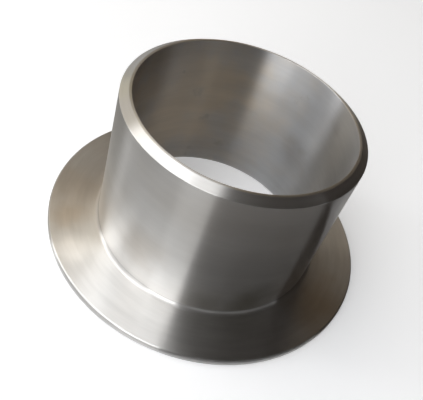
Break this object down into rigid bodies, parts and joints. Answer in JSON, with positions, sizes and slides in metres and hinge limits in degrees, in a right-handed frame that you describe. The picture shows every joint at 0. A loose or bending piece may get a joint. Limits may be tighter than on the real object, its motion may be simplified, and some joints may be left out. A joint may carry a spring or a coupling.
{
  "type": "pipe stub end",
  "caption": "Lap joint pipe stub end: a short barrel with a weld bevel, and a thin flat lap that takes a gasket and a loose backing flange.",
  "frame": {"origin": "centre of the gasket face, on the bore's axis, at the underside of the lap", "axes": "+Z along the bore's axis from the gasket face towards the weld end; X and Y are free, because the part is a solid of revolution"},
  "size_m": [0.127, 0.127, 0.0625],
  "materials": {
    "turned_stainless": "fine turned, with a satin grain that runs round the axis on every face"
  },
  "bodies": {
    "root": {"stub_end": "turned_stainless"}
  },
  "joints": []
}
